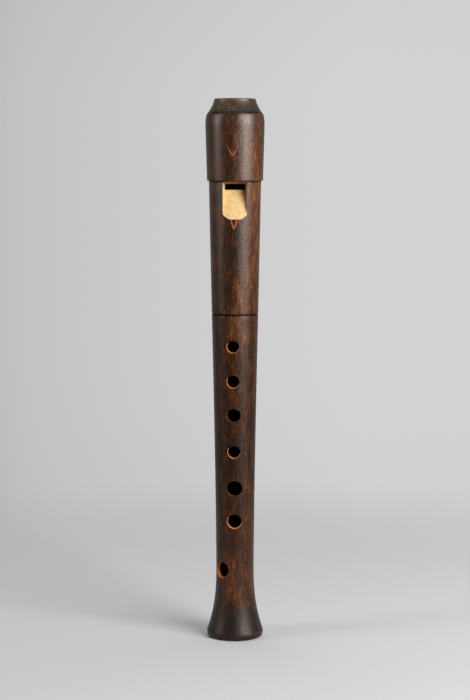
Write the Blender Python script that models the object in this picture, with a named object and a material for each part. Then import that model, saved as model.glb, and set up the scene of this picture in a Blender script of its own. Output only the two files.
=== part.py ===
"""A two-part sopranino recorder of dark stained maple, in metres.

The bore runs up Z from the floor under the foot, and the window faces -Y. The
body joint carries the head joint on a tenon lapped with cork, and a cedar
block closes the head's bore behind the windway.
"""

import math

import bmesh
import bpy
from mathutils import Vector

# Sides round a turned piece, and round a drilled hole
TURNED_SIDES = 48
DRILLED_SIDES = 24

# Gaps: between the head and the shoulder that it rests on, past the tenon's
# end, at each end of the cork, and round every piece that slides or turns
SEAM_GAP = 0.0003
TENON_END_GAP = 0.0005
CORK_END_GAP = 0.0002
RUNNING_GAP = 0.0001

# Finger holes, numbered from the top down. A rise is the distance above the next
# hole down, or above the floor for hole 7, which is the little finger's. A turn
# is in degrees from the front, towards the viewer's left where negative.
HOLE_7_RISE = 0.0322
HOLE_7_TURN = -45.0
HOLE_7_RADIUS = 0.00365
HOLE_6_RISE = 0.0231
HOLE_6_TURN = -1.8
HOLE_6_RADIUS = 0.00320
HOLE_5_RISE = 0.0153
HOLE_5_TURN = -1.4
HOLE_5_RADIUS = 0.00360
HOLE_4_RISE = 0.0170
HOLE_4_TURN = -3.1
HOLE_4_RADIUS = 0.00280
HOLE_3_RISE = 0.0168
HOLE_3_TURN = -3.6
HOLE_3_RADIUS = 0.00315
HOLE_2_RISE = 0.0156
HOLE_2_TURN = -5.4
HOLE_2_RADIUS = 0.00285
HOLE_1_RISE = 0.0160
HOLE_1_TURN = -5.4
HOLE_1_RADIUS = 0.00275
THUMB_HOLE_RADIUS = 0.0027
THUMB_ABOVE_HOLE_1 = 0.0045
SHOULDER_ABOVE_HOLE_1 = 0.0142

# Body joint, outside
FOOT_BASE_RADIUS = 0.0119
FOOT_RIM_RADIUS = 0.01305
FOOT_RIM_HEIGHT = 0.0026
WAIST_RADIUS = 0.0087
WAIST_HEIGHT = 0.0340
SEAM_RADIUS = 0.01065
SEAM_EDGE = 0.00035

# Body joint, bore
TENON_BORE_RADIUS = 0.0057
THROAT_RADIUS = 0.0043
THROAT_HEIGHT = 0.0300
BELL_RADIUS = 0.0058

# Tenon and its cork
TENON_LENGTH = 0.0203
TENON_RADIUS = 0.0081
TENON_CHAMFER = 0.0005
CORK_HEIGHT = 0.0045
CORK_LENGTH = 0.0120
CORK_THICKNESS = 0.0009
CORK_PROUD = 0.0001

# Head joint, outside: the neck, the collar that stands out above it, and the
# crown that closes in to the mouth end
NECK_LENGTH = 0.0605
NECK_TOP_RADIUS = 0.0119
COLLAR_STEP = 0.00085
COLLAR_EDGE = 0.0002
COLLAR_LENGTH = 0.0305
BULGE_HEIGHT = 0.0250
BULGE_RADIUS = 0.01345
CROWN_LENGTH = 0.0065
CROWN_BASE_RADIUS = 0.0124
CROWN_TOP_RADIUS = 0.0095
CROWN_EDGE = 0.0005

# Head joint, bore
HEAD_BORE_RADIUS = 0.0058
SOCKET_CHAMFER = 0.0004

# Beak: how much of the head it takes at the back, how far behind the axis its
# tip ends, and how deep it is hollowed below a straight cut
BEAK_LENGTH = 0.0315
BEAK_TIP_SETBACK = 0.0010
BEAK_HOLLOW = 0.0035

# Windway, measured from the bore's axis. It narrows from the mouth end to the
# window, and its roof and floor are arched across.
WINDWAY_FLOOR = 0.00555
WINDWAY_EXIT_HEIGHT = 0.0010
WINDWAY_ENTRY_HEIGHT = 0.0016
WINDWAY_EXIT_WIDTH = 0.0090
WINDWAY_ENTRY_WIDTH = 0.0094
ARCH_RADIUS = 0.055

# Window: its roof slants in from the collar's underside to the windway, and the
# ramp below it rises from the lip to a square end just under the neck's surface
ROOF_MARGIN = 0.0003
ROOF_DROP = 0.00140
CUT_UP = 0.00262
LIP_OFFSET = 0.0061
LIP_THICKNESS = 0.0001
LIP_WIDTH = 0.0091
RAMP_LENGTH = 0.0132
RAMP_END_DEPTH = 0.0002
WINDOW_DRAFT = 12.8
UNDERCUT_LENGTH = 0.0100

# How far a cutter runs past the surface that it cuts through
OVERCUT = 0.0020

# Places that follow from the sizes
HOLE_7_HEIGHT = HOLE_7_RISE
HOLE_6_HEIGHT = HOLE_7_HEIGHT + HOLE_6_RISE
HOLE_5_HEIGHT = HOLE_6_HEIGHT + HOLE_5_RISE
HOLE_4_HEIGHT = HOLE_5_HEIGHT + HOLE_4_RISE
HOLE_3_HEIGHT = HOLE_4_HEIGHT + HOLE_3_RISE
HOLE_2_HEIGHT = HOLE_3_HEIGHT + HOLE_2_RISE
HOLE_1_HEIGHT = HOLE_2_HEIGHT + HOLE_1_RISE
THUMB_HOLE_HEIGHT = HOLE_1_HEIGHT + THUMB_ABOVE_HOLE_1
SHOULDER_HEIGHT = HOLE_1_HEIGHT + SHOULDER_ABOVE_HOLE_1
HEAD_HEIGHT = SHOULDER_HEIGHT + SEAM_GAP
CORK_RADIUS = TENON_RADIUS + CORK_PROUD
CORK_SEAT_RADIUS = CORK_RADIUS - CORK_THICKNESS - RUNNING_GAP
SOCKET_RADIUS = CORK_RADIUS + RUNNING_GAP
SOCKET_DEPTH = TENON_LENGTH - SEAM_GAP + TENON_END_GAP
COLLAR_TOP = NECK_LENGTH + COLLAR_LENGTH
HEAD_LENGTH = COLLAR_TOP + CROWN_LENGTH
EXIT_HEIGHT = NECK_LENGTH - ROOF_DROP
LIP_HEIGHT = EXIT_HEIGHT - CUT_UP
RAMP_FOOT_HEIGHT = LIP_HEIGHT - RAMP_LENGTH
CLEAR_RADIUS = max(BULGE_RADIUS, FOOT_RIM_RADIUS) + OVERCUT


def clear_scene():
    for old in list(bpy.data.objects):
        bpy.data.objects.remove(old, do_unlink=True)


def stain(name, colour, roughness):
    """A plain material of one colour, as red, green and blue."""
    material = bpy.data.materials.new(name)
    material.use_nodes = True
    shader = material.node_tree.nodes["Principled BSDF"]
    shader.inputs["Base Color"].default_value = (*colour, 1.0)
    shader.inputs["Roughness"].default_value = roughness
    shader.inputs["Metallic"].default_value = 0.0
    return material


def add_piece(name, bm, material=None):
    """Closes the mesh, turns its faces out and links it as an object."""
    bmesh.ops.recalc_face_normals(bm, faces=bm.faces)
    mesh = bpy.data.meshes.new(name)
    bm.to_mesh(mesh)
    bm.free()
    piece = bpy.data.objects.new(name, mesh)
    bpy.context.collection.objects.link(piece)
    if material:
        mesh.materials.append(material)
        mesh.shade_smooth()
        mesh.set_sharp_from_angle(angle=math.radians(25))
    return piece


def turn_piece(name, outline, material):
    """Spins a closed outline of radius and height round the bore's axis."""
    bm = bmesh.new()
    section = [bm.verts.new((radius, 0.0, height)) for radius, height in outline]
    edges = [bm.edges.new(pair) for pair in zip(section, section[1:] + section[:1])]
    bmesh.ops.spin(
        bm,
        geom=section + edges,
        cent=(0, 0, 0),
        axis=(0, 0, 1),
        angle=2 * math.pi,
        steps=TURNED_SIDES,
        use_merge=True,
    )
    bmesh.ops.remove_doubles(bm, verts=bm.verts, dist=1e-7)
    return add_piece(name, bm, material)


def loft_piece(name, sections, caps, material=None):
    """Joins matching sections one after the other, and closes both ends with
    the caps, each a list of places in a section."""
    bm = bmesh.new()
    rings = [[bm.verts.new(point) for point in section] for section in sections]
    count = len(rings[0])
    for near, far in zip(rings, rings[1:]):
        for i in range(count):
            j = (i + 1) % count
            bm.faces.new((near[i], near[j], far[j], far[i]))
    for cap in caps:
        bm.faces.new([rings[0][i] for i in cap])
        bm.faces.new([rings[-1][i] for i in cap])
    return add_piece(name, bm, material)


def cut(piece, cutter):
    """Takes the cutter's shape out of the piece, which carries it along."""
    cutter.parent = piece
    cutter.hide_render = True
    cutter.display_type = "WIRE"
    boolean = piece.modifiers.new(cutter.name, "BOOLEAN")
    boolean.operation = "DIFFERENCE"
    boolean.solver = "EXACT"
    boolean.object = cutter


def steps(count):
    """Even shares of the way from 0 to 1, both ends among them."""
    return [i / count for i in range(count + 1)]


def blend(low, high, share):
    return low + (high - low) * share


def quarter_round(start, end, count, upright_first):
    """Points of a quarter ellipse between two corners of an outline. It leaves
    the start upright and reaches the end level, or the other way round."""
    points = []
    for share in steps(count):
        angle = share * math.pi / 2
        across = 1 - math.cos(angle) if upright_first else math.sin(angle)
        along = math.sin(angle) if upright_first else 1 - math.cos(angle)
        points.append((blend(start[0], end[0], across), blend(start[1], end[1], along)))
    return points


def body_outside():
    """The foot's rounded edge, the flare, the slow taper and the shoulder."""
    base = (FOOT_BASE_RADIUS, 0.0)
    rim = (FOOT_RIM_RADIUS, FOOT_RIM_HEIGHT)
    points = quarter_round(base, rim, 4, upright_first=False)
    flare_power = 2.6
    for share in steps(10)[1:]:
        height = blend(FOOT_RIM_HEIGHT, WAIST_HEIGHT, share)
        radius = blend(WAIST_RADIUS, FOOT_RIM_RADIUS, (1 - share) ** flare_power)
        points.append((radius, height))
    taper_power = 1.4
    for share in steps(9)[1:]:
        height = blend(WAIST_HEIGHT, SHOULDER_HEIGHT - SEAM_EDGE, share)
        radius = blend(WAIST_RADIUS, SEAM_RADIUS, share**taper_power)
        points.append((radius, height))
    edge = (SEAM_RADIUS, SHOULDER_HEIGHT - SEAM_EDGE)
    shoulder = (SEAM_RADIUS - SEAM_EDGE, SHOULDER_HEIGHT)
    return points + quarter_round(edge, shoulder, 3, upright_first=True)[1:]


def tenon_outside():
    """The tenon above the shoulder, with the seat that its cork lies in."""
    seat_bottom = SHOULDER_HEIGHT + CORK_HEIGHT - CORK_END_GAP
    seat_top = SHOULDER_HEIGHT + CORK_HEIGHT + CORK_LENGTH + CORK_END_GAP
    end = SHOULDER_HEIGHT + TENON_LENGTH
    return [
        (TENON_RADIUS, SHOULDER_HEIGHT),
        (TENON_RADIUS, seat_bottom),
        (CORK_SEAT_RADIUS, seat_bottom),
        (CORK_SEAT_RADIUS, seat_top),
        (TENON_RADIUS, seat_top),
        (TENON_RADIUS, end - TENON_CHAMFER),
        (TENON_RADIUS - TENON_CHAMFER, end),
    ]


def body_bore():
    """The bore from the tenon's end down: a long taper to the throat, then an
    opening curve to the foot."""
    points = [(TENON_BORE_RADIUS, SHOULDER_HEIGHT + TENON_LENGTH)]
    bell_power = 1.6
    for share in steps(5):
        height = blend(THROAT_HEIGHT, 0.0, share)
        points.append((blend(THROAT_RADIUS, BELL_RADIUS, share**bell_power), height))
    return points


def drill(name, height, turn, radius):
    """A cutter for one hole, from inside the bore out through one wall."""
    start = THROAT_RADIUS / 2
    bm = bmesh.new()
    bmesh.ops.create_cone(
        bm,
        cap_ends=True,
        segments=DRILLED_SIDES,
        radius1=radius,
        radius2=radius,
        depth=CLEAR_RADIUS - start,
    )
    cutter = add_piece(name, bm)
    facing = Vector((math.sin(math.radians(turn)), -math.cos(math.radians(turn)), 0))
    cutter.rotation_euler = facing.to_track_quat("Z", "Y").to_euler()
    cutter.location = facing * (start + CLEAR_RADIUS) / 2 + Vector((0, 0, height))
    return cutter


def make_body(material):
    outline = body_outside() + tenon_outside() + body_bore()
    body = turn_piece("body_joint", outline, material)
    cut(body, drill("hole_1", HOLE_1_HEIGHT, HOLE_1_TURN, HOLE_1_RADIUS))
    cut(body, drill("hole_2", HOLE_2_HEIGHT, HOLE_2_TURN, HOLE_2_RADIUS))
    cut(body, drill("hole_3", HOLE_3_HEIGHT, HOLE_3_TURN, HOLE_3_RADIUS))
    cut(body, drill("hole_4", HOLE_4_HEIGHT, HOLE_4_TURN, HOLE_4_RADIUS))
    cut(body, drill("hole_5", HOLE_5_HEIGHT, HOLE_5_TURN, HOLE_5_RADIUS))
    cut(body, drill("hole_6", HOLE_6_HEIGHT, HOLE_6_TURN, HOLE_6_RADIUS))
    cut(body, drill("hole_7", HOLE_7_HEIGHT, HOLE_7_TURN, HOLE_7_RADIUS))
    cut(body, drill("thumb_hole", THUMB_HOLE_HEIGHT, 180.0, THUMB_HOLE_RADIUS))
    return body


def make_cork(material):
    inside = CORK_RADIUS - CORK_THICKNESS
    outline = [
        (inside, 0.0),
        (CORK_RADIUS - CORK_PROUD, 0.0),
        (CORK_RADIUS, CORK_PROUD),
        (CORK_RADIUS, CORK_LENGTH - CORK_PROUD),
        (CORK_RADIUS - CORK_PROUD, CORK_LENGTH),
        (inside, CORK_LENGTH),
    ]
    return turn_piece("tenon_cork", outline, material)


def neck_radius(height):
    """The neck's outside above the head's lower end."""
    return blend(SEAM_RADIUS, NECK_TOP_RADIUS, height / NECK_LENGTH)


def collar_radius(height):
    """The collar's outside between its lower edge and its widest place."""
    share = (height - NECK_LENGTH) / BULGE_HEIGHT
    return blend(NECK_TOP_RADIUS + COLLAR_STEP, BULGE_RADIUS, share)


def head_outside():
    """The neck, the collar and the crown, from the seam to the mouth end."""
    lower = (SEAM_RADIUS - SEAM_EDGE, 0.0)
    points = quarter_round(lower, (neck_radius(SEAM_EDGE), SEAM_EDGE), 3, upright_first=False)
    points.append((NECK_TOP_RADIUS, NECK_LENGTH))
    collar_foot = collar_radius(NECK_LENGTH)
    points.append((collar_foot - COLLAR_EDGE, NECK_LENGTH))
    points.append((collar_foot, NECK_LENGTH + COLLAR_EDGE))
    bulge = (BULGE_RADIUS, NECK_LENGTH + BULGE_HEIGHT)
    points += quarter_round(bulge, (CROWN_BASE_RADIUS, COLLAR_TOP), 7, upright_first=True)
    crown_power = 1.4
    for share in steps(5)[1:]:
        height = blend(COLLAR_TOP, HEAD_LENGTH - CROWN_EDGE, share)
        radius = blend(CROWN_TOP_RADIUS, CROWN_BASE_RADIUS, (1 - share) ** crown_power)
        points.append((radius, height))
    edge = points[-1]
    return points + quarter_round(edge, (CROWN_TOP_RADIUS - CROWN_EDGE, HEAD_LENGTH), 3, True)[1:]


def head_bore():
    """The bore from the mouth end down, and the socket for the tenon."""
    return [
        (HEAD_BORE_RADIUS, HEAD_LENGTH),
        (HEAD_BORE_RADIUS, SOCKET_DEPTH),
        (SOCKET_RADIUS, SOCKET_DEPTH),
        (SOCKET_RADIUS, SOCKET_CHAMFER),
        (SOCKET_RADIUS + SOCKET_CHAMFER, 0.0),
    ]


def arch(x):
    """How far an arched surface falls back at x from the middle."""
    return x * x / (2 * ARCH_RADIUS)


# Places across an arched surface, as shares of its half width
ACROSS = [2 * share - 1 for share in steps(8)]

# Depth inside the bore that the windway's and the window's cutters reach
INSIDE_BORE = WINDWAY_FLOOR * 0.45


def windway_share(height):
    """0 at the windway's exit and 1 at the mouth end."""
    return (height - EXIT_HEIGHT) / (HEAD_LENGTH - EXIT_HEIGHT)


def windway_half_width(height):
    return blend(WINDWAY_EXIT_WIDTH, WINDWAY_ENTRY_WIDTH, windway_share(height)) / 2


def windway_roof(height):
    """The roof's distance from the axis at the middle of the windway."""
    return WINDWAY_FLOOR + blend(
        WINDWAY_EXIT_HEIGHT, WINDWAY_ENTRY_HEIGHT, windway_share(height)
    )


def windway_cutter():
    """The channel over the block, from the window out through the mouth end."""
    sections = []
    for height in (EXIT_HEIGHT - CUT_UP / 4, HEAD_LENGTH + OVERCUT):
        half = windway_half_width(height)
        roof = windway_roof(height)
        section = [(half, -INSIDE_BORE, height), (-half, -INSIDE_BORE, height)]
        section += [(half * u, arch(half * u) - roof, height) for u in ACROSS]
        sections.append(section)
    return loft_piece("windway_cutter", sections, [range(len(sections[0]))])


def window_cutter():
    """The window's opening, its slanted roof, the ramp and the undercut behind
    the lip, as sections from one side wall to the other."""
    ramp_end = neck_radius(RAMP_FOOT_HEIGHT) - RAMP_END_DEPTH
    roof_edge = NECK_LENGTH - ROOF_MARGIN
    draft = math.tan(math.radians(WINDOW_DRAFT))
    # Each corner is its distance before the axis, its height, and whether it
    # follows the arch across
    corners = (
        (LIP_OFFSET, LIP_HEIGHT, True),
        (ramp_end, RAMP_FOOT_HEIGHT, True),
        (CLEAR_RADIUS, RAMP_FOOT_HEIGHT, False),
        (CLEAR_RADIUS, roof_edge, False),
        (NECK_TOP_RADIUS, roof_edge, False),
        (windway_roof(EXIT_HEIGHT), EXIT_HEIGHT, True),
        (LIP_OFFSET, EXIT_HEIGHT, True),
        (INSIDE_BORE, EXIT_HEIGHT, False),
        (INSIDE_BORE, LIP_HEIGHT - UNDERCUT_LENGTH, False),
        (LIP_OFFSET - LIP_THICKNESS, LIP_HEIGHT, True),
    )
    sections = []
    for u in ACROSS:
        section = []
        for before, height, arched in corners:
            x = u * (LIP_WIDTH / 2 + max(0.0, before - LIP_OFFSET) * draft)
            section.append((x, (arch(x) if arched else 0.0) - before, height))
        sections.append(section)
    outer_wall = (0, 1, 2, 3, 4, 5, 6)
    inner_wall = (0, 6, 7, 8, 9)
    return loft_piece("window_cutter", sections, [outer_wall, inner_wall])


def beak_cutter(name):
    """Everything behind the beak's hollow curve, which runs from the mouth end
    down to the collar's back."""
    tip = Vector((BEAK_TIP_SETBACK, HEAD_LENGTH))
    heel_height = HEAD_LENGTH - BEAK_LENGTH
    heel = Vector((collar_radius(heel_height), heel_height))
    inward = Vector((heel.y - tip.y, tip.x - heel.x)).normalized()
    past_heel = 1.2
    profile = [(BEAK_TIP_SETBACK, HEAD_LENGTH + OVERCUT)]
    for share in steps(14):
        t = share * past_heel
        point = tip.lerp(heel, t) + inward * BEAK_HOLLOW * 4 * t * (1 - t)
        profile.append((point.x, point.y))
    beyond = 2 * CLEAR_RADIUS
    profile += [(beyond, profile[-1][1]), (beyond, HEAD_LENGTH + OVERCUT)]
    sections = [[(x, y, z) for y, z in profile] for x in (-CLEAR_RADIUS, CLEAR_RADIUS)]
    return loft_piece(name, sections, [range(len(profile))])


def make_head(material):
    head = turn_piece("head_joint", head_outside() + head_bore(), material)
    cut(head, windway_cutter())
    cut(head, window_cutter())
    cut(head, beak_cutter("head_beak_cutter"))
    return head


def make_block(material):
    """A plug of the bore's shape whose raised front is the windway's floor."""
    radius = HEAD_BORE_RADIUS - RUNNING_GAP
    round_points = 36
    sections = []
    for height in (EXIT_HEIGHT, HEAD_LENGTH):
        half = windway_half_width(height) - RUNNING_GAP
        section = [(half * u, arch(half * u) - WINDWAY_FLOOR, height) for u in ACROSS]
        start = math.asin(half / radius)
        for share in steps(round_points):
            angle = blend(start, 2 * math.pi - start, share)
            section.append((radius * math.sin(angle), -radius * math.cos(angle), height))
        sections.append(section)
    block = loft_piece("fipple_block", sections, [range(len(sections[0]))], material)
    cut(block, beak_cutter("block_beak_cutter"))
    return block


def build():
    clear_scene()
    maple = stain("stained_maple", (0.060, 0.026, 0.013), 0.42)
    cedar = stain("cedar", (0.520, 0.270, 0.140), 0.70)
    cork_bark = stain("cork", (0.480, 0.280, 0.140), 0.90)
    body = make_body(maple)
    cork = make_cork(cork_bark)
    cork.location = (0, 0, SHOULDER_HEIGHT + CORK_HEIGHT)
    cork.parent = body
    head = make_head(maple)
    head.location = (0, 0, HEAD_HEIGHT)
    head.parent = body
    block = make_block(cedar)
    block.parent = head
    bpy.context.view_layer.update()


build()
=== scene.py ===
"""A two-part sopranino recorder of dark stained maple: the looks, in metres.

The bore runs up Z from the floor, and the window and finger holes face -Y.
"""

import math

import bpy
import numpy as np
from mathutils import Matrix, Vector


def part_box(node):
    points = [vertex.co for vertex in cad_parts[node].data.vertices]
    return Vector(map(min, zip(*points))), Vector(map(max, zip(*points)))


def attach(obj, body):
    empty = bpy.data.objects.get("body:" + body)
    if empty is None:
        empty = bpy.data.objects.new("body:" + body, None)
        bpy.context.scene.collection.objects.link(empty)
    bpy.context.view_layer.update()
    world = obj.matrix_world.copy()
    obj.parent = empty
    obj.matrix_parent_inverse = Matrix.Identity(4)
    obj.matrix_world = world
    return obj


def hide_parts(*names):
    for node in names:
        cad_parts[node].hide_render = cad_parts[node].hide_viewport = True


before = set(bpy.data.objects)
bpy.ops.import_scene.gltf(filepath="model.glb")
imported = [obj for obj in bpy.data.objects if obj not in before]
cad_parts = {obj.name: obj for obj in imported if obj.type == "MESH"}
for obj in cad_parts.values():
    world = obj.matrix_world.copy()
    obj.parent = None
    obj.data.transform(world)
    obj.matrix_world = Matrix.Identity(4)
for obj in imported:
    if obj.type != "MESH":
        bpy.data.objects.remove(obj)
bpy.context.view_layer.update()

# Body joint
# One stick of maple, reamed to a long taper and turned with a flared foot. The
# holes are drilled from outside, and their rims are eased with a knife.

seam_gap = 0.0003
shoulder_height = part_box("head_joint")[0].z - seam_gap
tenon_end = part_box("body_joint")[1].z
foot_rim_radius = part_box("body_joint")[1].x
foot_rim_height = 0.0026
foot_base_radius = 0.0119
waist_radius, waist_height = 0.0087, 0.0340
seam_radius, seam_edge = 0.01065, 0.00035
tenon_radius, tenon_chamfer = 0.0081, 0.0005
cork_low, cork_high = (corner.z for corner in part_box("tenon_cork"))
cork_end_gap, cork_seat_radius = 0.0002, 0.0072
tenon_bore_radius = 0.0057
throat_radius, throat_height, bell_radius = 0.0043, 0.030, 0.0058


def body_radius(height):
    """Outside radius: below the waist it grows by the 2.6th power of the way
    down to the rim, above it by the 1.4th power of the way up to the seam."""
    down = np.clip((waist_height - height) / (waist_height - foot_rim_height), 0, 1)
    up = np.clip((height - waist_height) / (shoulder_height - waist_height), 0, 1)
    flare = (foot_rim_radius - waist_radius) * down**2.6
    return waist_radius + flare + (seam_radius - waist_radius) * up**1.4


def quarter_round(start, end, count, upright_first):
    """A quarter ellipse between two outline corners, each radius and height,
    leaving the first one upright or level."""
    angle = np.linspace(0, math.pi / 2, count)
    rise, run = np.sin(angle), 1 - np.cos(angle)
    if not upright_first:
        rise, run = run, rise
    return np.column_stack((start[0] + (end[0] - start[0]) * run, start[1] + (end[1] - start[1]) * rise))


def grid_mesh(name, points, caps=()):
    """A mesh over a grid of points, in which each row is a ring that closes on
    itself. Each cap lists the places in a ring that one flat end goes through.
    With no caps the last ring joins the first."""
    rows, sides = points.shape[:2]
    index = np.arange(rows * sides).reshape(rows, sides)
    low = index[:-1] if caps else index
    high = index[1:] if caps else np.roll(index, -1, axis=0)
    faces = np.stack((low, np.roll(low, -1, axis=1), np.roll(high, -1, axis=1), high), axis=-1)
    faces = faces.reshape(-1, 4).tolist()
    for cap in caps:
        faces += [index[0, cap][::-1].tolist(), index[-1, cap].tolist()]
    mesh = bpy.data.meshes.new(name)
    mesh.from_pydata(points.reshape(-1, 3), [], faces)
    return mesh


def whole(points):
    """The one cap that goes through a whole ring."""
    return [list(range(points.shape[1]))]


def turned(outline, sides):
    """Points of an outline carried round the axis: x is the radius times the
    sine of the turn, and y is minus the radius times its cosine."""
    turn = np.linspace(0, 2 * math.pi, sides, endpoint=False)
    radius, height = outline[:, :1], outline[:, 1:]
    return np.stack((radius * np.sin(turn), -radius * np.cos(turn), height + 0 * turn), axis=-1)


def add_object(name, mesh, woods, which=None):
    """Links the mesh as an object at the origin, with its materials. Which
    gives the material of each face, in the order of the mesh."""
    piece = bpy.data.objects.new(name, mesh)
    bpy.context.scene.collection.objects.link(piece)
    for wood in woods:
        mesh.materials.append(wood)
    if which is not None:
        mesh.polygons.foreach_set("material_index", which.astype(np.int32))
    return piece


def shade(mesh):
    """Shades all but the sharp edges smooth."""
    mesh.shade_smooth()
    mesh.set_sharp_from_angle(angle=math.radians(28))


def finish_by_cutting(piece, cutters):
    """Takes the cutters out of the piece for good. Each face of a cut keeps
    its cutter's material."""
    for cutter in cutters:
        boolean = piece.modifiers.new(cutter.name, "BOOLEAN")
        boolean.operation = "DIFFERENCE"
        boolean.solver = "EXACT"
        boolean.material_mode = "TRANSFER"
        boolean.object = cutter
    evaluated = piece.evaluated_get(bpy.context.evaluated_depsgraph_get())
    mesh = bpy.data.meshes.new_from_object(evaluated)
    piece.modifiers.clear()
    piece.data = mesh
    for cutter in cutters:
        bpy.data.objects.remove(cutter)
    shade(mesh)


def body_outline():
    """The three parts of the body joint's whole section: the outside from the
    foot's base up to the shoulder, the tenon, and the bore down again."""
    flare = np.linspace(foot_rim_height, waist_height, 36)[1:]
    taper = np.linspace(waist_height, shoulder_height - seam_edge, 110)[1:]
    height = np.concatenate((flare, taper))
    shoulder = (seam_radius - seam_edge, shoulder_height)
    outside = np.concatenate((
        quarter_round((foot_base_radius, 0), (foot_rim_radius, foot_rim_height), 9, False),
        np.column_stack((body_radius(height), height)),
        quarter_round((seam_radius, shoulder_height - seam_edge), shoulder, 5, True)[1:],
    ))
    seat_low, seat_high = cork_low - cork_end_gap, cork_high + cork_end_gap
    chamfer_low = (tenon_radius, tenon_end - tenon_chamfer)
    tenon = np.concatenate((
        np.linspace((tenon_radius, shoulder_height), (tenon_radius, seat_low), 6),
        np.linspace((cork_seat_radius, seat_low), (cork_seat_radius, seat_high), 8),
        np.linspace((tenon_radius, seat_high), chamfer_low, 4),
        [(tenon_radius - tenon_chamfer, tenon_end)],
    ))
    bell = np.linspace(throat_height, 0, 16)[1:]
    opening = ((throat_height - bell) / throat_height) ** 1.6
    bore = np.concatenate((
        np.linspace((tenon_bore_radius, tenon_end), (throat_radius, throat_height), 50),
        np.column_stack((throat_radius + (bell_radius - throat_radius) * opening, bell)),
    ))
    return outside, tenon, bore


def drill(name, height, turn, radius, ease, wood):
    """A cutter for one hole, whose upper end flares to ease the rim. Its rings
    are placed by their distance from the drill's axis and their depth under
    the turned surface, which lies as far from the bore's axis as the root of
    the outside radius squared less the sideways distance squared. The wall is
    bore wood low down, dark with oil and also standing in for the shade deep
    in the hole, and the given wood above it. The rim's lower left, where the
    light falls, keeps the given wood, and its upper right takes the stained
    maple as painted shade."""
    sides, bare_rows, bore_rows = 72, 2, 8
    bare_depth, lead, inner_end = 0.0015, 0.0003, 0.0015
    around = np.linspace(0, 2 * math.pi, sides, endpoint=False)
    sweep = np.radians(np.linspace(18, 90, 6))
    reach = radius + ease * (1 - np.sin(sweep))
    depth = ease * (1 - np.cos(sweep))
    reach = np.concatenate(([reach[0] + lead * math.cos(sweep[0])], reach))
    depth = np.concatenate(([depth[0] - lead * math.sin(sweep[0])], depth))
    sideways, along = reach[:, None] * np.cos(around), reach[:, None] * np.sin(around)
    out = np.sqrt(body_radius(height + along) ** 2 - sideways**2) - depth[:, None]
    above = np.full_like(out[:1], out.max() + 0.002)
    bare = np.linspace(out[-1], out[-1] - bare_depth, bare_rows + 1)[1:]
    deep = np.linspace(bare[-1], np.full_like(out[-1], inner_end), bore_rows + 1)[1:]
    below = np.concatenate((bare, deep))
    out = np.concatenate((above, out, below))
    sideways = np.concatenate((sideways[:1], sideways, np.repeat(sideways[-1:], len(below), axis=0)))
    along = np.concatenate((along[:1], along, np.repeat(along[-1:], len(below), axis=0)))
    facing = math.radians(turn)
    points = np.stack((
        out * math.sin(facing) + sideways * math.cos(facing),
        -out * math.cos(facing) + sideways * math.sin(facing),
        height + along,
    ), axis=-1)[::-1]
    # The rim's lower left, where the light falls, is bare wood. The rest of the rim is stained maple, as
    # painted shade.
    lit_lower_left = (around > math.radians(140)) & (around < math.radians(345))
    which = np.ones((len(points) - 1, sides))
    which[bore_rows : bore_rows + bare_rows] = 0
    which[bore_rows + bare_rows :] = np.where(lit_lower_left, 0, 2)
    # The cutter's two end faces come last
    which = np.concatenate((which.ravel(), (1, 2)))
    return add_object(name, grid_mesh(name, points, whole(points)), [wood, bore_wood, maple], which)


class Field:
    """A value that varies over a surface. Sums and products of fields make the
    nodes that work them out, so that a finish reads as formulas."""

    def __init__(self, tree, socket):
        self.tree, self.socket = tree, socket

    def by(self, operation, *others):
        """This field and the others, joined by one of the math node's
        operations."""
        node = self.tree.nodes.new("ShaderNodeMath")
        node.operation = operation
        for entry, value in zip(node.inputs, (self, *others)):
            feed(self.tree, entry, value)
        return Field(self.tree, node.outputs[0])

    def __add__(self, other):
        return self.by("ADD", other)

    def __sub__(self, other):
        return self.by("SUBTRACT", other)

    def __mul__(self, other):
        return self.by("MULTIPLY", other)

    def __truediv__(self, other):
        return self.by("DIVIDE", other)

    def __abs__(self):
        return self.by("ABSOLUTE")

    def between(self, low, high):
        """0 below the low value, 1 above the high one, and a smooth rise
        between them. With low above high it falls instead."""
        node = self.tree.nodes.new("ShaderNodeMapRange")
        node.interpolation_type = "SMOOTHSTEP"
        for entry, value in zip(node.inputs, (self, low, high, 0.0, 1.0)):
            feed(self.tree, entry, value)
        return Field(self.tree, node.outputs[0])


def feed(tree, entry, value):
    """Gives an input a field or a constant."""
    if isinstance(value, Field):
        tree.links.new(value.socket, entry)
    else:
        entry.default_value = value


def screen_colour(red, green, blue):
    """A colour given as it shows on a screen, 0 to 255, made linear."""
    share = np.array((red, green, blue)) / 255
    linear = np.where(share <= 0.04045, share / 12.92, ((share + 0.055) / 1.055) ** 2.4)
    return (*linear.tolist(), 1.0)


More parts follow.
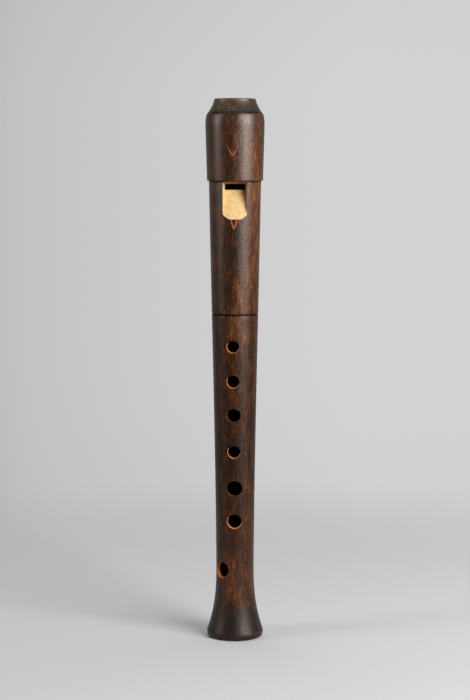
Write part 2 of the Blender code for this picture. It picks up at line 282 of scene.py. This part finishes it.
class Finish:
    """A material in the making. Its x, y and z are the place on the piece in
    millimetres, as fields."""

    def __init__(self, name):
        self.material = bpy.data.materials.new(name)
        self.material.use_nodes = True
        self.tree = self.material.node_tree
        self.shader = self.tree.nodes["Principled BSDF"]
        scale = self.tree.nodes.new("ShaderNodeVectorMath")
        scale.operation = "SCALE"
        scale.inputs["Scale"].default_value = 1000.0
        place = self.tree.nodes.new("ShaderNodeTexCoord").outputs["Object"]
        self.tree.links.new(place, scale.inputs[0])
        self.place = Field(self.tree, scale.outputs[0])
        parts = self.tree.nodes.new("ShaderNodeSeparateXYZ")
        feed(self.tree, parts.inputs[0], self.place)
        self.x, self.y, self.z = (Field(self.tree, socket) for socket in parts.outputs)

    def noise(self, across, along, detail=2.0, roughness=0.5, shift=(0.0, 0.0, 0.0), distortion=0.0):
        """Noise from 0 to 1, whose lumps are about so many millimetres across
        the grain and along it."""
        mapping = self.tree.nodes.new("ShaderNodeMapping")
        feed(self.tree, mapping.inputs["Vector"], self.place)
        mapping.inputs["Location"].default_value = shift
        mapping.inputs["Scale"].default_value = (1 / across, 1 / across, 1 / along)
        node = self.tree.nodes.new("ShaderNodeTexNoise")
        self.tree.links.new(mapping.outputs[0], node.inputs["Vector"])
        settings = {"Scale": 1.0, "Detail": detail, "Roughness": roughness, "Distortion": distortion}
        for entry, value in settings.items():
            node.inputs[entry].default_value = value
        return Field(self.tree, node.outputs[0])

    def stops(self, value, first, *others):
        """The colour at a value, from colours given at rising places from 0
        to 1."""
        node = self.tree.nodes.new("ShaderNodeValToRGB")
        feed(self.tree, node.inputs[0], value)
        elements = node.color_ramp.elements
        *middle, last = others
        elements[0].position, elements[0].color = first
        elements[1].position, elements[1].color = last
        for place, colour in middle:
            elements.new(place).color = colour
        return Field(self.tree, node.outputs[0])

    def mix(self, share, first, second):
        """The first colour, with a share of the second laid over it."""
        node = self.tree.nodes.new("ShaderNodeMix")
        node.data_type = "RGBA"
        for entry, value in ((0, share), (6, first), (7, second)):
            feed(self.tree, node.inputs[entry], value)
        return Field(self.tree, node.outputs[2])

    def complete(self, colour, roughness, relief, height):
        """Joins the colour, the roughness and a relief whose full height is
        given in metres, and returns the material."""
        feed(self.tree, self.shader.inputs["Base Color"], colour)
        feed(self.tree, self.shader.inputs["Roughness"], roughness)
        bump = self.tree.nodes.new("ShaderNodeBump")
        bump.inputs["Strength"].default_value = 1.0
        bump.inputs["Distance"].default_value = height
        feed(self.tree, bump.inputs["Height"], relief)
        self.tree.links.new(bump.outputs[0], self.shader.inputs["Normal"])
        return self.material


def growth_rings(wood, pith, lean, spacing, wander):
    """From -1 to 1 over growth rings about an upright line behind the piece:
    the sine of the distance from it, leaning with height and wandering."""
    behind = wood.y - pith
    distance = (wood.x * wood.x + behind * behind).by("SQRT") + wood.z * lean + wander
    return (distance * (2 * math.pi / spacing)).by("SINE")


def grain_arch(wood, x, z, half_width, rise, thickness):
    """1 along a growth ring that runs out of the front of the turned surface.
    It is half a hyperbola: the root of the sideways distance squared plus the
    tip squared, less the tip, scaled to reach the rise at the half width. The
    distance from it is the height off it over the root of one plus its slope
    squared."""
    tip = half_width * 0.3
    steep = rise / (math.hypot(half_width, tip) - tip)
    aside = wood.x - x
    root = (aside * aside + tip * tip).by("SQRT")
    slope = aside / root * steep
    off = abs(wood.z - z - (root - tip) * steep) / (slope * slope + 1.0).by("SQRT")
    line = off.between(thickness, thickness * 0.3)
    return line * abs(aside).between(half_width * 1.3, half_width * 0.7) * wood.y.between(0.0, -2.0)


def patch(wood, x, z, half_width, half_height):
    """1 in the middle of a soft upright patch on the front, 0 outside it."""
    across = abs(wood.x - x).between(half_width, half_width * 0.2)
    return across * abs(wood.z - z).between(half_height, half_height * 0.3) * wood.y.between(0.0, -1.0)


def stained_maple():
    """Umber stain over flat-sawn maple. It lies thicker on the end grain of
    the foot and the crown, and thinner over the hard rings."""
    wood = Finish("stained_wood")
    streaks = wood.noise(1.0, 9.0, detail=4.0, roughness=0.65, distortion=0.3)
    mottle = wood.noise(3.2, 7.0, detail=4.0, roughness=0.6, shift=(3.1, 7.7, 1.4))
    clouds = wood.noise(9.0, 40.0, detail=2.0, shift=(1.0, 4.0, 8.0))
    fibres = wood.noise(0.42, 5.0, detail=2.0, roughness=0.6)
    flecks = wood.noise(0.80, 1.5, detail=3.0, roughness=0.65, shift=(9.0, 2.0, 5.0), distortion=0.4)
    pores = wood.noise(0.16, 1.6, detail=1.0, shift=(5.0, 6.0, 2.0))
    ring = growth_rings(wood, 48.0, 0.035, 1.7, clouds * 5.0)
    hard_ring = ring.between(0.55, 1.0) * mottle.between(0.42, 0.62)

    depth = (streaks - 0.5) * 0.85 + (mottle - 0.5) * 0.75 + (fibres - 0.5) * 0.55 + (clouds - 0.5) * 0.35
    depth = depth + (flecks - 0.5) * 0.70 + hard_ring * 0.10 + 0.40
    # The warm patches are the wood's own tone, except the two on the right half of the head, which are
    # painted light where the key light falls. The shaded patches are painted shade towards the middle of
    # the front.
    warm_tone_and_painted_light = patch(wood, -9.5, 195.0, 4.5, 60.0) * 0.10 + patch(wood, 3.0, 162.0, 6.5, 15.0) * 0.18
    warm_tone_and_painted_light = warm_tone_and_painted_light + patch(wood, 9.6, 200.0, 4.2, 62.0) * 0.20
    warm_tone_and_painted_light = warm_tone_and_painted_light + patch(wood, 4.5, 205.0, 8.0, 50.0) * 0.13 + patch(wood, 0.5, 144.0, 9.0, 15.0) * 0.17
    warm_tone_and_painted_light = warm_tone_and_painted_light + patch(wood, 1.5, 28.0, 12.0, 18.0) * 0.14 + patch(wood, -0.7, 98.0, 2.0, 5.0) * 0.14
    shaded = patch(wood, -1.0, 182.0, 6.0, 12.0) * 0.12 + patch(wood, -1.0, 88.0, 13.0, 38.0) * 0.09
    colour = wood.stops(
        depth + warm_tone_and_painted_light - shaded,
        (0.06, screen_colour(26, 15, 8)),
        (0.32, screen_colour(44, 24, 12)),
        (0.52, screen_colour(65, 34, 15)),
        (0.72, screen_colour(94, 54, 25)),
        (0.96, screen_colour(134, 82, 40)),
    )
    colour = wood.mix(flecks.between(0.64, 0.76) * 0.35, colour, screen_colour(128, 76, 42))
    colour = wood.mix(pores.between(0.38, 0.28) * 0.6, colour, screen_colour(18, 11, 7))

    collar_arch = grain_arch(wood, -1.0, 222.7, 3.1, 5.4, 0.38) * wood.z.between(228.6, 223.5)
    arches = collar_arch * (wood.x.between(1.0, -1.2) * 0.45 + 0.35)
    arches = arches + grain_arch(wood, -0.5, 190.0, 1.45, 3.7, 0.5) * 0.9
    arches = arches + grain_arch(wood, 0.1, 183.6, 1.1, -2.6, 0.35) * 0.2
    colour = wood.mix(arches * (mottle * 0.5 + 0.6), colour, screen_colour(190, 112, 50))

    ragged = (streaks - 0.5) * 14.0 + (mottle - 0.5) * 6.0
    waves = wood.noise(0.5, 0.9, detail=3.0, roughness=0.6, shift=(2.0, 8.0, 3.0), distortion=1.5)
    foot = (wood.z + ragged).between(18.5, 11.5)
    foot_colour = wood.stops(
        waves * 0.5 + streaks * 0.5,
        (0.30, screen_colour(15, 12, 9)),
        (0.70, screen_colour(31, 25, 20)),
    )
    colour = wood.mix(foot * 0.92, colour, foot_colour)
    crown = wood.z.between(241.35, 241.60)
    # The crown's colour darkens towards its base as painted shade, and it is a little lighter to the left.
    crown_colour = wood.stops(
        waves * 0.75 + (wood.z - 244.5) * 0.045 + wood.x.between(3.0, -5.0) * 0.10,
        (0.22, screen_colour(24, 18, 12)),
        (0.45, screen_colour(52, 41, 29)),
        (0.62, screen_colour(80, 66, 48)),
    )
    contours = wood.noise(4.5, 2.2, detail=1.0, roughness=0.5, shift=(4.0, 1.0, 6.0), distortion=0.3)
    torn = (contours * 30.0 + wood.z * 2.6).by("SINE").between(0.0, 0.95)
    torn = torn * wood.x.between(2.0, -1.0) * wood.z.between(242.0, 242.8) * wood.z.between(247.2, 246.2)
    crown_colour = wood.mix(torn * 0.45, crown_colour, screen_colour(118, 102, 78))
    colour = wood.mix(crown, colour, crown_colour)
    # A dark line where the crown meets the collar: painted shade in the corner. The gloss is cut there too.
    painted_corner_shade = abs(wood.z - 241.6).between(0.45, 0.20)
    # A dark line at the seam between the joints, and painted shadow on the neck under the collar's
    # overhang.
    seam_dark_and_collar_shadow = abs(wood.z - 150.35).between(0.65, 0.3) * 0.8 + abs(wood.z - 210.7).between(0.5, 0.2) * 0.8
    colour = wood.mix(painted_corner_shade * 0.85 + seam_dark_and_collar_shadow, colour, screen_colour(18, 11, 7))
    # A reddish line round the mouth's rim, as wear, and one on the foot rim's right side only, which is a
    # painted highlight where the key light falls.
    painted_foot_rim_light = abs(wood.z - 2.7).between(0.6, 0.1) * wood.x.between(2.0, 8.0) * 0.3
    mouth_wear_and_rim_light = wood.z.between(247.1, 247.6) * 0.6 + painted_foot_rim_light
    colour = wood.mix(mouth_wear_and_rim_light * mottle.between(0.35, 0.55), colour, screen_colour(112, 62, 38))

    worn_beak = wood.y.between(0.5, 3.0) * wood.z.between(212.0, 218.0)
    gloss = (fibres - 0.5) * 0.30 + (flecks - 0.5) * 0.30 + 0.38
    gloss = gloss + foot * 0.05 + crown * 0.04 + worn_beak * 0.15
    polish = (wood.z.between(30.0, 250.0) * 0.45 + foot * 0.06 + 0.3) * (seam_dark_and_collar_shadow * -1.0 + 1.0)
    mouth_end = wood.z.between(247.7, 247.95)
    polish = polish * (painted_corner_shade * -0.8 + 1.0) * (worn_beak * -0.7 + 1.0) * (mouth_end * -0.9 + 1.0)
    feed(wood.tree, wood.shader.inputs["Specular IOR Level"], polish)
    wood.shader.inputs["Specular Tint"].default_value = (1.0, 0.90, 0.84, 1.0)
    return wood.complete(colour, gloss, fibres * 0.5 + pores * 0.2 + flecks * 0.6, 0.00008)


def bare_maple(name, pale, tan, dark):
    """Maple that the stain hasn't reached: short tan flecks on a pale ground."""
    wood = Finish(name)
    clouds = wood.noise(1.2, 1.6, detail=4.0, roughness=0.65)
    fibres = wood.noise(0.16, 3.0, detail=3.0, shift=(2.0, 5.0, 1.0))
    specks = wood.noise(0.8, 1.0, detail=2.0, shift=(7.0, 3.0, 6.0))
    colour = wood.stops(clouds, (0.34, dark), (0.47, tan), (0.58, pale))
    colour = wood.mix(fibres.between(0.52, 0.36) * 0.30, colour, tan)
    colour = wood.mix(specks.between(0.58, 0.70) * 0.45, colour, dark)
    return wood.complete(colour, fibres * 0.2 + 0.5, fibres, 0.00003)


def bore_maple():
    """The reamed bore, dark with stain and oil, with the reamer's fine rings."""
    wood = Finish("bore_wood")
    streaks = wood.noise(0.8, 9.0, detail=3.0)
    colour = wood.stops(streaks, (0.35, screen_colour(38, 20, 14)), (0.65, screen_colour(62, 34, 24)))
    reamed = wood.noise(40.0, 0.25, detail=2.0)
    return wood.complete(colour, streaks * 0.2 + 0.45, reamed, 0.00002)


maple = stained_maple()
bore_wood = bore_maple()
hole_wood = bare_maple(
    "hole_wood", screen_colour(222, 138, 62), screen_colour(200, 114, 46), screen_colour(150, 80, 32)
)
# A darker copy of the hole wood: painted shade on the walls of holes 5 and 3.
shaded_hole_wood = bare_maple(
    "shaded_hole_wood", screen_colour(122, 78, 48), screen_colour(92, 56, 34), screen_colour(52, 32, 20)
)
tenon_wood = bare_maple(
    "tenon_wood", screen_colour(206, 150, 92), screen_colour(184, 126, 74), screen_colour(150, 96, 54)
)
body_sides = 240
outside, tenon, bore = body_outline()
body_mesh = grid_mesh("turned_body", turned(np.concatenate((outside, tenon, bore)), body_sides))
ring_woods = np.repeat((0, 1, 2, 0), (len(outside), len(tenon), len(bore) - 1, 1))
body_woods = np.repeat(ring_woods, body_sides)
body_wood = add_object("turned_body", body_mesh, [maple, tenon_wood, bore_wood], body_woods)
finish_by_cutting(body_wood, [
    drill("hole_7", height=0.0322, turn=-45.0, radius=0.00365, ease=0.00020, wood=hole_wood),
    drill("hole_6", height=0.0553, turn=-1.8, radius=0.00320, ease=0.00030, wood=hole_wood),
    drill("hole_5", height=0.0706, turn=-1.4, radius=0.00360, ease=0.00012, wood=shaded_hole_wood),
    drill("hole_4", height=0.0876, turn=-3.1, radius=0.00280, ease=0.00025, wood=hole_wood),
    drill("hole_3", height=0.1044, turn=-3.6, radius=0.00315, ease=0.00012, wood=shaded_hole_wood),
    drill("hole_2", height=0.1200, turn=-5.4, radius=0.00285, ease=0.00020, wood=hole_wood),
    drill("hole_1", height=0.1360, turn=-5.4, radius=0.00275, ease=0.00022, wood=hole_wood),
    drill("thumb_hole", height=0.1405, turn=180.0, radius=0.00270, ease=0.00020, wood=hole_wood),
])
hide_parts("body_joint")
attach(body_wood, "body")

# Tenon cork
# A strip of sheet cork glued round the tenon, sanded true and greased.

cork_inside = 0.0073
cork_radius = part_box("tenon_cork")[1].x
cork_edge = 0.0002


def cork_outline():
    """The sleeve's section, with its two outer edges sanded off."""
    end_radius = cork_radius - cork_edge
    sanded_low, sanded_high = cork_low + cork_edge, cork_high - cork_edge
    return np.concatenate((
        np.linspace((cork_inside, cork_low), (end_radius, cork_low), 3),
        quarter_round((end_radius, cork_low), (cork_radius, sanded_low), 4, False)[1:],
        np.linspace((cork_radius, sanded_low), (cork_radius, sanded_high), 24)[1:],
        quarter_round((cork_radius, sanded_high), (end_radius, cork_high), 4, True)[1:],
        np.linspace((cork_inside, cork_high), (cork_inside, cork_low), 10)[:-1],
    ))


def cork_bark():
    """Cells of tan cork with darker bark pits among them, and the slanted
    joint where the strip's two ends meet."""
    bark = Finish("cork_bark")
    cells = bark.tree.nodes.new("ShaderNodeTexVoronoi")
    feed(bark.tree, cells.inputs["Vector"], bark.place)
    cells.inputs["Scale"].default_value = 1.7
    cells = Field(bark.tree, cells.outputs["Distance"])
    clouds = bark.noise(1.2, 1.2, detail=4.0)
    pits = bark.noise(0.5, 1.2, detail=2.0, shift=(4.0, 1.0, 2.0))
    colour = bark.stops(
        cells * 0.35 + clouds * 0.8,
        (0.25, screen_colour(150, 104, 66)),
        (0.50, screen_colour(189, 141, 95)),
        (0.75, screen_colour(212, 170, 122)),
    )
    joint = abs(bark.x + bark.z * 0.5 - 80.5).between(0.16, 0.05) * bark.y.between(0.0, 1.0)
    dark = screen_colour(84, 52, 32)
    colour = bark.mix(pits.between(0.64, 0.72), colour, dark)
    colour = bark.mix(joint * 0.8, colour, dark)
    return bark.complete(colour, clouds * 0.2 + 0.62, cells - pits * 0.5 - joint, 0.00006)


cork = add_object("cork_lapping", grid_mesh("cork_lapping", turned(cork_outline(), 192)), [cork_bark()])
shade(cork.data)
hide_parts("tenon_cork")
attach(cork, "cork")

# Head joint
# A second stick of the same maple. Collar and crown are turned in one with the
# neck, the beak is cut and filed at the back, and the window is cut by knife.

head_low, head_top = (corner.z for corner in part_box("head_joint"))
bulge_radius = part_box("head_joint")[1].x
neck_length, neck_top_radius = 0.0605, 0.0119
collar_step, collar_edge, collar_length = 0.00085, 0.0002, 0.0305
bulge_height = 0.0250
crown_base_radius, crown_top_radius, crown_edge = 0.0124, 0.0095, 0.0005
collar_low = head_low + neck_length
collar_high = collar_low + collar_length
head_bore_radius, socket_radius, socket_chamfer = 0.0058, 0.0083, 0.0004
socket_floor = tenon_end + 0.0005
beak_length, beak_tip_setback, beak_hollow = 0.0315, 0.0010, 0.0035
beak_softness = 0.0012
windway_floor = 0.00555
windway_exit_height, windway_entry_height = 0.0010, 0.0016
windway_exit_width, windway_entry_width = 0.0090, 0.0094
arch_radius = 0.055
roof_margin, roof_drop, cut_up = 0.0003, 0.00140, 0.00262
lip_offset, lip_thickness, lip_width = 0.0061, 0.0001, 0.0091
ramp_length, ramp_end_depth = 0.0132, 0.0002
window_draft, undercut_length = 12.8, 0.0100
exit_height = collar_low - roof_drop
lip_height = exit_height - cut_up
inside_bore = windway_floor * 0.45
overcut = 0.0020


def neck_radius(height):
    """Outside radius of the neck, growing evenly from the seam to the collar."""
    return seam_radius + (neck_top_radius - seam_radius) * (height - head_low) / neck_length


def head_outline():
    """The outside of the head before its beak is cut, from the seam up."""
    neck = np.linspace(head_low + seam_edge, collar_low, 60)
    foot = neck_top_radius + collar_step
    bulge = (bulge_radius, collar_low + bulge_height)
    crown = np.linspace(collar_high, head_top - crown_edge, 34)[1:]
    closing = (head_top - crown_edge - crown) / (head_top - crown_edge - collar_high)
    crown_radius = crown_top_radius + (crown_base_radius - crown_top_radius) * closing**1.4
    mouth = (crown_top_radius - crown_edge, head_top)
    return np.concatenate((
        quarter_round((seam_radius - seam_edge, head_low), (neck_radius(neck[0]), neck[0]), 5, False),
        np.column_stack((neck_radius(neck), neck))[1:],
        np.linspace((neck_top_radius, collar_low), (foot - collar_edge, collar_low), 3)[1:],
        quarter_round((foot - collar_edge, collar_low), (foot, collar_low + collar_edge), 4, False)[1:],
        np.linspace((foot, collar_low + collar_edge), bulge, 92)[1:],
        quarter_round(bulge, (crown_base_radius, collar_high), 26, True)[1:],
        np.column_stack((crown_radius, crown)),
        quarter_round((crown_top_radius, head_top - crown_edge), mouth, 7, True)[1:],
    ))


def beak_depth(height):
    """How far behind the axis the beak's surface lies at a height: a straight
    line from the tip to the collar's back, hollowed by a parabola."""
    heel_height = head_top - beak_length
    collar_foot = neck_top_radius + collar_step
    share = (heel_height - collar_low) / bulge_height
    tip = np.array((beak_tip_setback, head_top))
    heel = np.array((collar_foot + (bulge_radius - collar_foot) * share, heel_height))
    inward = np.array((heel[1] - tip[1], tip[0] - heel[0]))
    inward = inward / np.linalg.norm(inward)
    t = np.linspace(0, 1.35, 200)[:, None]
    curve = tip + (heel - tip) * t + inward * beak_hollow * 4 * t * (1 - t)
    return np.interp(height, curve[::-1, 1], curve[::-1, 0], left=0.05)


def head_surface(sides):
    """The solid outside of the head. Along each direction from the axis, the
    surface lies where the softened lesser of two depths is nought: the depth
    under the turned outline and the depth under the beak's surface. It is
    found by halving the distance again and again."""
    outline = head_outline()
    turn = np.linspace(0, 2 * math.pi, sides, endpoint=False)
    turned_radius, height = outline[:, :1], outline[:, 1:]
    eased = np.clip(height - (head_top - crown_edge), 0, crown_edge)
    beak = beak_depth(height) - (crown_edge - np.sqrt(crown_edge**2 - eased**2))
    low, high = np.zeros((len(outline), sides)), turned_radius + 0 * turn
    backward = -np.cos(turn)
    for _ in range(40):
        middle = (low + high) / 2
        under_turned, under_beak = turned_radius - middle, beak - middle * backward
        near = np.clip(1 - np.abs(under_turned - under_beak) / beak_softness, 0, 1)
        depth = np.minimum(under_turned, under_beak) - near**2 * beak_softness / 4
        low, high = np.where(depth > 0, middle, low), np.where(depth > 0, high, middle)
    points = np.stack((low * np.sin(turn), low * backward, height + 0 * turn), axis=-1)
    return grid_mesh("turned_head", points, whole(points))


def head_reamer():
    """The head's bore and the wider socket for the tenon, as one cutter."""
    sides = 160
    mouth = (socket_radius + socket_chamfer + 0.0002, head_low - 0.0002)
    socket = np.concatenate((
        np.linspace(mouth, (socket_radius, head_low + socket_chamfer), 3),
        np.linspace((socket_radius, head_low + socket_chamfer), (socket_radius, socket_floor), 18)[1:],
    ))
    bore = np.linspace((head_bore_radius, socket_floor), (head_bore_radius, head_top + overcut), 60)
    points = turned(np.concatenate((socket, bore)), sides)
    mesh = grid_mesh("head_reamer", points, whole(points))
    which = np.repeat((0, 1), (len(socket) * sides, (len(bore) - 1) * sides + 2))
    return add_object("head_reamer", mesh, [tenon_wood, bore_wood], which)


def arch(x):
    """How far an arched surface falls back at x from the middle."""
    return x * x / (2 * arch_radius)


def windway_half_width(height):
    """Half the windway's width, growing evenly from the window to the mouth."""
    share = (height - exit_height) / (head_top - exit_height)
    return (windway_exit_width + (windway_entry_width - windway_exit_width) * share) / 2


def windway_roof(height):
    """How far before the axis the roof's middle lies, which grows evenly from
    the window to the mouth."""
    share = (height - exit_height) / (head_top - exit_height)
    return windway_floor + windway_exit_height + (windway_entry_height - windway_exit_height) * share


def windway_cutter(wood):
    """The channel over the block: rings up the windway, each with an arched
    roof and two corners inside the bore."""
    height = np.linspace(exit_height - cut_up / 4, head_top + overcut, 40)[:, None]
    half, roof = windway_half_width(height), windway_roof(height)
    across = np.linspace(-1, 1, 25)
    x = np.concatenate((half, -half, half * across), axis=1)
    y = np.concatenate((0 * half - inside_bore, 0 * half - inside_bore, arch(half * across) - roof), axis=1)
    points = np.stack((x, y, height + 0 * x), axis=-1)
    return add_object("windway_cutter", grid_mesh("windway_cutter", points, whole(points)), [wood])


def window_cutter(ramp_wood, window_shade_wood):
    """The window's opening, slanted roof, ramp and undercut, as rings of
    corners from one side wall to the other. Both walls lean outwards."""
    ramp_foot = lip_height - ramp_length
    ramp_end = neck_radius(ramp_foot) - ramp_end_depth
    beyond = bulge_radius + overcut
    roof_edge = collar_low - roof_margin
    # Each corner is its distance before the axis, its height, and 1 where it
    # follows the arch across
    corners = np.array((
        (lip_offset, lip_height, 1),
        (ramp_end, ramp_foot, 1),
        (beyond, ramp_foot, 0),
        (beyond, roof_edge, 0),
        (neck_top_radius, roof_edge, 0),
        (windway_roof(exit_height), exit_height, 1),
        (lip_offset, exit_height, 1),
        (inside_bore, exit_height, 0),
        (inside_bore, lip_height - undercut_length, 0),
        (lip_offset - lip_thickness, lip_height, 1),
    ))
    before, height, arched = corners.T
    rings = 33
    across = np.linspace(1, -1, rings)[:, None]
    draft = math.tan(math.radians(window_draft))
    x = across * (lip_width / 2 + np.maximum(0, before - lip_offset) * draft)
    points = np.stack((x, arched * arch(x) - before, height + 0 * x), axis=-1)
    mesh = grid_mesh("window_cutter", points, ([0, 1, 2, 3, 4, 5, 6], [0, 6, 7, 8, 9]))
    roof_corner = 4
    which = np.zeros(len(mesh.polygons))
    which[roof_corner : len(corners) * (rings - 1) : len(corners)] = 1
    # Each wall is two faces, and the last four faces are right, left, right,
    # left. The right wall takes the roof's darker wood: painted shade on both.
    which[[-4, -2]] = 1
    return add_object("window_cutter", mesh, [ramp_wood, window_shade_wood], which)


ramp_wood = bare_maple(
    "ramp_wood", screen_colour(238, 208, 152), screen_colour(230, 196, 136), screen_colour(214, 164, 100)
)
# Darker bare maple, as painted shade on the window's roof and right wall.
window_shade_wood = bare_maple(
    "window_shade_wood", screen_colour(176, 128, 78), screen_colour(152, 104, 62), screen_colour(116, 76, 46)
)
head_wood = add_object("turned_head", head_surface(sides=320), [maple])
finish_by_cutting(head_wood, [
    window_cutter(ramp_wood, window_shade_wood),
    windway_cutter(bore_wood),
    head_reamer(),
])
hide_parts("head_joint")
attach(head_wood, "head")

# Fipple block
# A plug of pale red cedar pushed into the head from the mouth end. Its raised
# front is the windway's floor, and its end is cut flush with the beak.

running_gap = 0.0001
block_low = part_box("fipple_block")[0].z


def block_surface():
    """Rings up the block: the arched floor across the front, then the round
    of the bore from one side of the floor to the other."""
    height = np.linspace(block_low, head_top, 90)[:, None]
    half = windway_half_width(height) - running_gap
    radius = head_bore_radius - running_gap
    across = np.linspace(-1, 1, 25)
    start = np.arcsin(half / radius)
    turn = start + (2 * math.pi - 2 * start) * np.linspace(0, 1, 120)
    x = np.concatenate((half * across, radius * np.sin(turn)), axis=1)
    y = np.concatenate((arch(half * across) - windway_floor, -radius * np.cos(turn)), axis=1)
    points = np.stack((x, y, height + 0 * x), axis=-1)
    return grid_mesh("cedar_block", points, whole(points))


def beak_cutter(wood):
    """What lies behind the beak's surface, as rings from side to side."""
    height = np.linspace(head_top, head_top - beak_length, 80)
    depth = beak_depth(height)
    beyond = 2 * bulge_radius
    depth = np.concatenate(([depth[0]], depth, [beyond, beyond]))
    height = np.concatenate(([head_top + overcut], height, [height[-1], head_top + overcut]))
    x = np.linspace(-bulge_radius, bulge_radius, 2)[:, None]
    points = np.stack((x + 0 * depth, depth + 0 * x, height + 0 * x), axis=-1)
    return add_object("beak_cutter", grid_mesh("beak_cutter", points, whole(points)), [wood])


def cedar():
    """Straight-grained red cedar, its darker late wood in fine lines."""
    wood = Finish("cedar_wood")
    wander = wood.noise(5.0, 40.0, detail=2.0)
    fibres = wood.noise(0.2, 4.0, detail=3.0)
    late_wood = ((wood.x + wander * 1.6) * (2 * math.pi / 0.9)).by("SINE")
    colour = wood.stops(
        late_wood * 0.18 + fibres * 0.5 + 0.25,
        (0.20, screen_colour(148, 88, 54)),
        (0.50, screen_colour(188, 124, 80)),
        (0.80, screen_colour(214, 156, 108)),
    )
    wood.shader.inputs["Specular IOR Level"].default_value = 0.1
    return wood.complete(colour, fibres * 0.2 + 0.58, fibres, 0.00004)


cedar_wood = cedar()
block = add_object("cedar_block", block_surface(), [cedar_wood])
finish_by_cutting(block, [beak_cutter(cedar_wood)])
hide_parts("fipple_block")
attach(block, "block")

# Floor, background, lamps and camera
# Pale paper under the recorder that fades into a pale backdrop, a softbox on
# each side, a panel overhead, and a long lens a little above the middle.


def paper():
    """Pale matt paper round the recorder, painted a little lighter on the right,
    where the key light falls. Away from it the paper fades out, so that the
    backdrop shows."""
    sheet = Finish("paper")
    fleck = sheet.noise(30.0, 30.0, detail=3.0)
    tone = sheet.stops(
        sheet.x * 0.0025 + fleck * 0.02 + 0.49,
        (0.20, screen_colour(199, 200, 203)),
        (0.80, screen_colour(203, 204, 205)),
    )
    feed(sheet.tree, sheet.shader.inputs["Base Color"], tone)
    sheet.shader.inputs["Roughness"].default_value = 0.9
    sheet.shader.inputs["Specular IOR Level"].default_value = 0.2
    distance = (sheet.x * sheet.x + sheet.y * sheet.y).by("SQRT")
    bare_table = distance.between(140.0, 420.0).by("MAXIMUM", sheet.y.between(-100.0, -300.0))
    clear = sheet.tree.nodes.new("ShaderNodeBsdfTransparent")
    fade = sheet.tree.nodes.new("ShaderNodeMixShader")
    feed(sheet.tree, fade.inputs[0], bare_table)
    sheet.tree.links.new(sheet.shader.outputs[0], fade.inputs[1])
    sheet.tree.links.new(clear.outputs[0], fade.inputs[2])
    sheet.tree.links.new(fade.outputs[0], sheet.tree.nodes["Material Output"].inputs["Surface"])
    return sheet.material


floor_radius = 0.45
edge = np.linspace(0, 2 * math.pi, 96, endpoint=False)
floor_points = np.column_stack((floor_radius * np.cos(edge), floor_radius * np.sin(edge), 0 * edge))
floor_mesh = bpy.data.meshes.new("paper")
floor_mesh.from_pydata(floor_points, [], [list(range(len(edge)))])
floor = add_object("paper", floor_mesh, [paper()])


def backdrop():
    """The studio round the recorder. The camera sees a pale backdrop with
    painted shade, darker to the left and towards the floor. To all other rays
    the front of the studio is dark, and the backdrop behind is pale."""
    world = bpy.data.worlds.new("studio")
    bpy.context.scene.world = world
    world.use_nodes = True
    tree = world.node_tree
    direction = tree.nodes.new("ShaderNodeTexCoord").outputs["Generated"]
    parts = tree.nodes.new("ShaderNodeSeparateXYZ")
    tree.links.new(direction, parts.inputs[0])
    x, y, z = (Field(tree, socket) for socket in parts.outputs)
    from_left = (x * 5.1 + 0.66).by("MAXIMUM", 0.0).by("MINIMUM", 1.0).by("POWER", 0.6)
    level = from_left * 0.13 - z.between(-0.10, -0.26) * 0.045 - z.between(0.03, 0.12) * 0.03
    level = level + 0.521
    rays = tree.nodes.new("ShaderNodeLightPath").outputs
    seen = Field(tree, rays["Is Camera Ray"]).by("MAXIMUM", Field(tree, rays["Is Transmission Ray"]))
    room = y.between(0.0, 1.0) * 0.34 + 0.04
    strength = (level - room) * seen + room
    feed(tree, tree.nodes["Background"].inputs["Strength"], strength)
    tree.nodes["Background"].inputs["Color"].default_value = (1, 1, 1, 1)


backdrop()


def softbox(name, azimuth, elevation, distance, width, height, power, colour):
    """A rectangular lamp that faces the recorder's middle. Azimuth 0 is in
    front of it, and 90 to its right."""
    lamp = bpy.data.lights.new(name, "AREA")
    lamp.shape = "RECTANGLE"
    lamp.size, lamp.size_y = width, height
    lamp.energy = power
    lamp.color = colour
    holder = bpy.data.objects.new(name, lamp)
    bpy.context.scene.collection.objects.link(holder)
    turn, lift = math.radians(azimuth), math.radians(elevation)
    holder.location = (
        distance * math.sin(turn) * math.cos(lift),
        -distance * math.cos(turn) * math.cos(lift),
        0.12 + distance * math.sin(lift),
    )
    holder.rotation_euler = (math.pi / 2 - lift, 0, turn)
    holder.visible_camera = False


softbox("key_softbox", 46, 20, 0.9, 0.60, 0.55, 11.5, (1.0, 0.97, 0.94))
softbox("fill_softbox", -73, 18, 1.2, 0.35, 0.6, 4.6, (1.0, 0.92, 0.84))
softbox("ceiling_panel", 170, 78, 1.4, 1.2, 1.0, 9.5, (0.95, 0.98, 1.0))

camera = bpy.data.objects.new("camera", bpy.data.cameras.new("camera"))
bpy.context.scene.collection.objects.link(camera)
camera.data.lens = 90
camera.data.sensor_width = 36
camera.location = (0, -0.8, 0.216)
camera.rotation_euler = (math.radians(90 - 5.88), 0, 0)
camera.data.clip_start = 0.02
bpy.context.scene.camera = camera
bpy.context.scene.view_settings.view_transform = "Standard"
